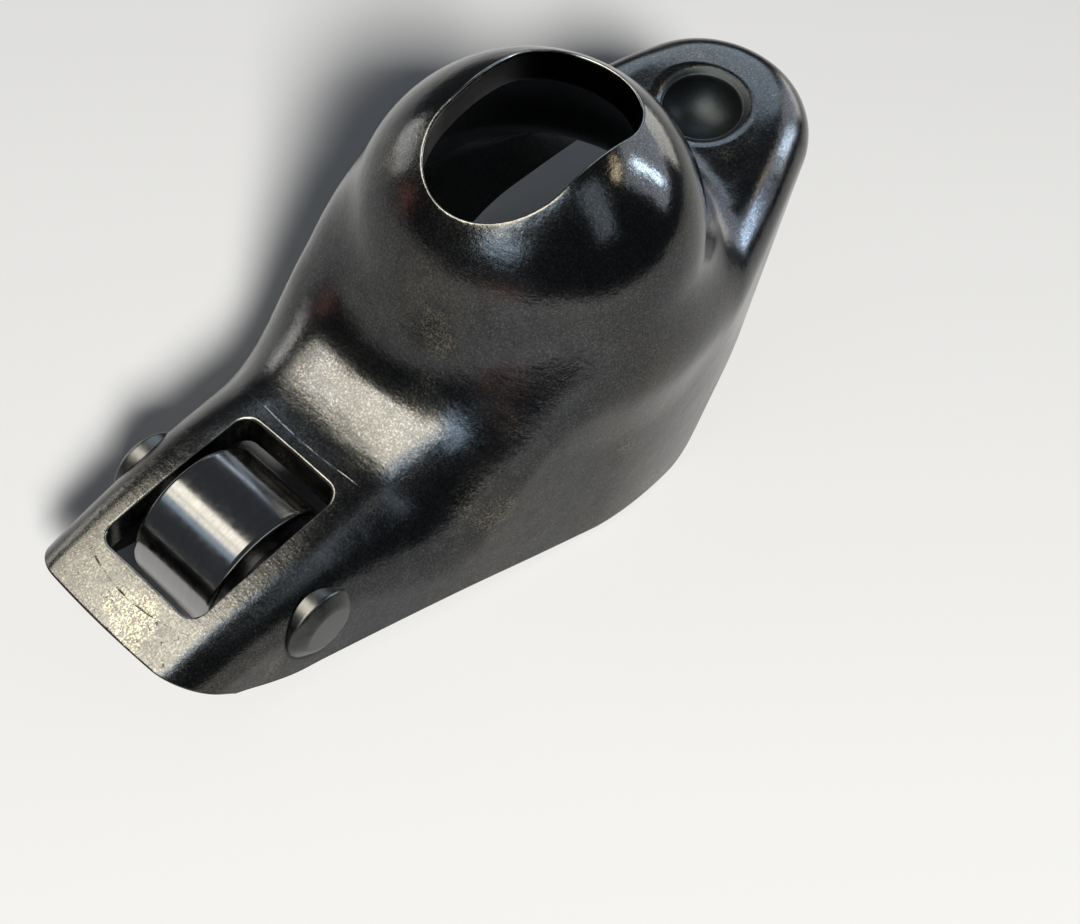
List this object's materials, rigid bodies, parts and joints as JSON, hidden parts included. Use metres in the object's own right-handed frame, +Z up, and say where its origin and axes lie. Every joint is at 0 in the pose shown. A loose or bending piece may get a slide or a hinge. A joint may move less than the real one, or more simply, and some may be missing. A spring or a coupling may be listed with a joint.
{
  "type": "rocker arm",
  "caption": "Stamped steel rocker arm with a domed pivot seat and stud slot, a pushrod cup at one end and a roller on a pressed-in pin at the other.",
  "frame": {"origin": "middle of the part's box on the table it lies on; it rests on the two rims and the roller with the open side of the trough down", "axes": "+X from the roller nose to the pushrod end, +Z up out of the seat dome along the stud, Y across, along the roller pin"},
  "size_m": [0.083, 0.0358, 0.0358],
  "materials": {
    "pressed_steel": "dark tumbled and oiled pressed steel, satin, with fine pitting, die marks and light scuffs",
    "ground_steel": "hardened and ground steel, bright, with fine streaks round the tread",
    "pin_steel": "plain steel, satin, turned chamfers"
  },
  "bodies": {
    "arm": {"arm_body": "pressed_steel", "roller_pin": "pin_steel"},
    "roller": {"tip_roller": "ground_steel"}
  },
  "joints": [
    {"name": "roller_spin", "type": "hinge", "parent": "arm", "child": "roller", "pos_m": [-0.02781, 0, 0.0066], "axis": [0, 1, 0], "continuous": true}
  ]
}
